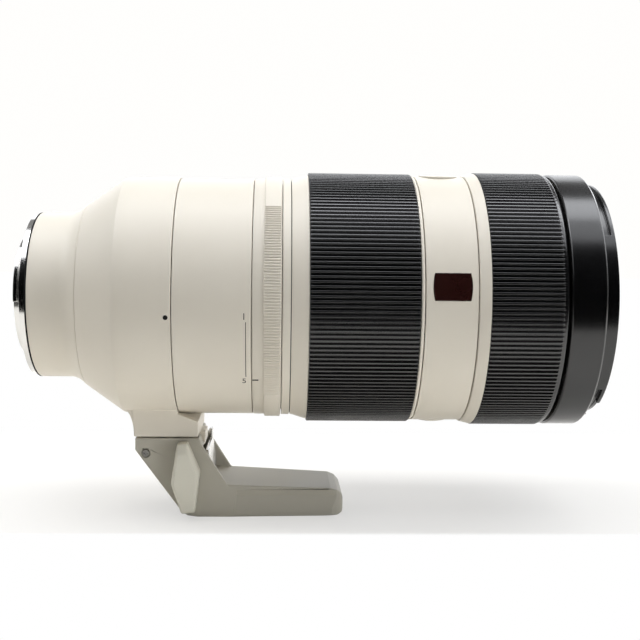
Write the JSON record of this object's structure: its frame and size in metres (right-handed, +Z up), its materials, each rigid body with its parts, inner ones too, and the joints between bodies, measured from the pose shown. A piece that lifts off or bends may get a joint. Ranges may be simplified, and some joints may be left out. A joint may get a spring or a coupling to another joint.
{
  "type": "camera zoom lens",
  "caption": "Long telephoto zoom lens with ribbed zoom and focus rings, tension ring, hold buttons, extending front, rotating tripod collar and a clamp-on foot.",
  "frame": {"origin": "centre of the mount flange's seat, on the optical axis", "axes": "+X along the optical axis towards the front, +Z up with the foot below, +Y towards the switches"},
  "size_m": [0.2086, 0.1024, 0.1264],
  "materials": {
    "cream_paint": "satin",
    "cream_plastic": "satin",
    "button_plastic": "satin",
    "foot_paint": "satin",
    "ribbed_rubber": "matte",
    "black_alloy": "matte",
    "black_plastic": "satin",
    "blade_metal": "matte",
    "mount_steel": "polished",
    "bright_steel": "polished",
    "brass": "polished",
    "coated_glass": "polished",
    "board": "satin"
  },
  "bodies": {
    "barrel": {"mount_bayonet": "mount_steel", "mount_screws": "bright_steel", "contact_block": "black_plastic", "contact_pins": "brass", "rear_baffle": "black_plastic", "mount_seal": "ribbed_rubber", "rear_barrel": "cream_paint", "circuit_board": "board", "rear_lens_cell": "black_alloy", "rear_lens": "coated_glass", "body_shell": "cream_paint", "switch_panel": "cream_plastic", "index_ring": "cream_paint", "front_sleeve": "black_alloy", "button_band": "cream_plastic", "guide_tube": "black_alloy", "focus_rods": "bright_steel", "iris_housing": "black_plastic", "oss_base": "black_alloy"},
    "collar": {"collar_ring": "cream_paint"},
    "collar_lock": {"collar_knob": "cream_paint"},
    "foot": {"foot": "foot_paint", "foot_stop_screw": "bright_steel"},
    "foot_jaw": {"foot_clamp_jaw": "bright_steel"},
    "foot_clamp": {"foot_knob": "foot_paint"},
    "zoom": {"zoom_ring": "cream_paint", "zoom_grip": "ribbed_rubber", "cam_barrel": "black_alloy"},
    "front_barrel": {"extension_tube": "black_alloy", "extension_followers": "brass", "front_ring": "black_plastic", "front_retainer": "black_plastic", "front_lens": "coated_glass"},
    "variator": {"variator_cell": "black_plastic", "variator_lens": "coated_glass"},
    "focus": {"focus_ring": "cream_paint", "focus_grip": "ribbed_rubber"},
    "focus_group": {"focus_cell": "black_plastic", "focus_lens": "coated_glass"},
    "tension": {"tension_ring": "cream_paint"},
    "button_top": {"hold_button_top": "button_plastic"},
    "button_side": {"hold_button_side": "button_plastic"},
    "button_bottom": {"hold_button_bottom": "button_plastic"},
    "switch_1": {"focus_mode_switch": "black_plastic"},
    "switch_2": {"range_switch": "black_plastic"},
    "switch_3": {"stabiliser_switch": "black_plastic"},
    "switch_4": {"stabiliser_mode_switch": "black_plastic"},
    "iris_ring": {"iris_drive_ring": "bright_steel"},
    "blade_1": {"iris_blade_1": "blade_metal"},
    "blade_2": {"iris_blade_2": "blade_metal"},
    "blade_3": {"iris_blade_3": "blade_metal"},
    "blade_4": {"iris_blade_4": "blade_metal"},
    "blade_5": {"iris_blade_5": "blade_metal"},
    "blade_6": {"iris_blade_6": "blade_metal"},
    "blade_7": {"iris_blade_7": "blade_metal"},
    "blade_8": {"iris_blade_8": "blade_metal"},
    "blade_9": {"iris_blade_9": "blade_metal"},
    "stabiliser_frame": {"oss_frame": "black_plastic"},
    "stabiliser": {"oss_cell": "black_plastic", "oss_lens": "coated_glass"}
  },
  "joints": [
    {"name": "collar_turn", "type": "hinge", "parent": "barrel", "child": "collar", "pos_m": [0.04, 0, 0], "axis": [1, 0, 0], "continuous": true},
    {"name": "collar_lock_turn", "type": "hinge", "parent": "collar", "child": "collar_lock", "pos_m": [0.04333, 0.05, 0], "axis": [0, 1, 0], "range_deg": [0, 180]},
    {"name": "foot_slide", "type": "slide", "parent": "collar", "child": "foot", "axis": [1, 0, 0], "range_m": [-0.024, 0]},
    {"name": "foot_clamp_turn", "type": "hinge", "parent": "foot", "child": "foot_clamp", "pos_m": [0.0567, -0.017, -0.0641], "axis": [0, -1, 0], "range_deg": [0, 180]},
    {"name": "foot_jaw_slide", "type": "slide", "parent": "foot", "child": "foot_jaw", "axis": [0, 1, 0], "range_m": [0, 0.0005]},
    {"name": "tension_turn", "type": "hinge", "parent": "barrel", "child": "tension", "pos_m": [0.0855, 0, 0], "axis": [-1, 0, 0], "range_deg": [0, 31]},
    {"name": "zoom_turn", "type": "hinge", "parent": "barrel", "child": "zoom", "pos_m": [0.116, 0, 0], "axis": [1, 0, 0], "range_deg": [0, 75]},
    {"name": "front_extend", "type": "slide", "parent": "barrel", "child": "front_barrel", "axis": [1, 0, 0], "range_m": [0, 0.082]},
    {"name": "variator_slide", "type": "slide", "parent": "barrel", "child": "variator", "axis": [1, 0, 0], "range_m": [0, 0.03]},
    {"name": "focus_turn", "type": "hinge", "parent": "barrel", "child": "focus", "pos_m": [0.172, 0, 0], "axis": [1, 0, 0], "continuous": true},
    {"name": "focus_group_slide", "type": "slide", "parent": "barrel", "child": "focus_group", "axis": [1, 0, 0], "range_m": [0, 0.014]},
    {"name": "hold_top_press", "type": "slide", "parent": "barrel", "child": "button_top", "axis": [0, 0.0958, -0.9954], "range_m": [0, 0.0006], "stiffness_N_per_m": 600, "springref_m": -0.0006},
    {"name": "hold_side_press", "type": "slide", "parent": "barrel", "child": "button_side", "axis": [0, -0.9954, -0.0958], "range_m": [0, 0.0006], "stiffness_N_per_m": 600, "springref_m": -0.0006},
    {"name": "hold_bottom_press", "type": "slide", "parent": "barrel", "child": "button_bottom", "axis": [0, -0.0958, 0.9954], "range_m": [0, 0.0006], "stiffness_N_per_m": 600, "springref_m": -0.0006},
    {"name": "focus_mode_slide", "type": "slide", "parent": "barrel", "child": "switch_1", "axis": [1, 0, 0], "range_m": [0, 0.003]},
    {"name": "range_slide", "type": "slide", "parent": "barrel", "child": "switch_2", "axis": [1, 0, 0], "range_m": [0, 0.003]},
    {"name": "stabiliser_slide", "type": "slide", "parent": "barrel", "child": "switch_3", "axis": [1, 0, 0], "range_m": [0, 0.003]},
    {"name": "stabiliser_mode_slide", "type": "slide", "parent": "barrel", "child": "switch_4", "axis": [1, 0, 0], "range_m": [0, 0.003]},
    {"name": "iris_turn", "type": "hinge", "parent": "barrel", "child": "iris_ring", "pos_m": [0.099, 0, 0], "axis": [1, 0, 0], "range_deg": [0, 4.8]},
    {"name": "blade_1_turn", "type": "hinge", "parent": "barrel", "child": "blade_1", "pos_m": [0.097, 0.02145, 0.018], "axis": [1, 0, 0], "range_deg": [0, 36]},
    {"name": "blade_2_turn", "type": "hinge", "parent": "barrel", "child": "blade_2", "pos_m": [0.097, 0.00486, 0.02757], "axis": [1, 0, 0], "range_deg": [0, 36]},
    {"name": "blade_3_turn", "type": "hinge", "parent": "barrel", "child": "blade_3", "pos_m": [0.097, -0.014, 0.02425], "axis": [1, 0, 0], "range_deg": [0, 36]},
    {"name": "blade_4_turn", "type": "hinge", "parent": "barrel", "child": "blade_4", "pos_m": [0.097, -0.02631, 0.00958], "axis": [1, 0, 0], "range_deg": [0, 36]},
    {"name": "blade_5_turn", "type": "hinge", "parent": "barrel", "child": "blade_5", "pos_m": [0.097, -0.02631, -0.00958], "axis": [1, 0, 0], "range_deg": [0, 36]},
    {"name": "blade_6_turn", "type": "hinge", "parent": "barrel", "child": "blade_6", "pos_m": [0.097, -0.014, -0.02425], "axis": [1, 0, 0], "range_deg": [0, 36]},
    {"name": "blade_7_turn", "type": "hinge", "parent": "barrel", "child": "blade_7", "pos_m": [0.097, 0.00486, -0.02757], "axis": [1, 0, 0], "range_deg": [0, 36]},
    {"name": "blade_8_turn", "type": "hinge", "parent": "barrel", "child": "blade_8", "pos_m": [0.097, 0.02145, -0.018], "axis": [1, 0, 0], "range_deg": [0, 36]},
    {"name": "blade_9_turn", "type": "hinge", "parent": "barrel", "child": "blade_9", "pos_m": [0.097, 0.028, 0], "axis": [1, 0, 0], "range_deg": [0, 36]},
    {"name": "stabiliser_across", "type": "slide", "parent": "barrel", "child": "stabiliser_frame", "axis": [0, 1, 0], "range_m": [-0.0008, 0.0008], "stiffness_N_per_m": 3000},
    {"name": "stabiliser_up", "type": "slide", "parent": "stabiliser_frame", "child": "stabiliser", "axis": [0, 0, 1], "range_m": [-0.0008, 0.0008], "stiffness_N_per_m": 3000}
  ],
  "couplings": [
    {"joint": "front_extend", "follows": "zoom_turn", "m_per_rad": 0.062643},
    {"joint": "variator_slide", "follows": "zoom_turn", "m_per_rad": 0.022918},
    {"joint": "foot_clamp_turn", "follows": "foot_jaw_slide", "rad_per_m": 6283.2},
    {"joint": "blade_1_turn", "follows": "iris_turn", "ratio": 7.2917},
    {"joint": "blade_2_turn", "follows": "iris_turn", "ratio": 7.2917},
    {"joint": "blade_3_turn", "follows": "iris_turn", "ratio": 7.2917},
    {"joint": "blade_4_turn", "follows": "iris_turn", "ratio": 7.2917},
    {"joint": "blade_5_turn", "follows": "iris_turn", "ratio": 7.2917},
    {"joint": "blade_6_turn", "follows": "iris_turn", "ratio": 7.2917},
    {"joint": "blade_7_turn", "follows": "iris_turn", "ratio": 7.2917},
    {"joint": "blade_8_turn", "follows": "iris_turn", "ratio": 7.2917},
    {"joint": "blade_9_turn", "follows": "iris_turn", "ratio": 7.2917}
  ]
}
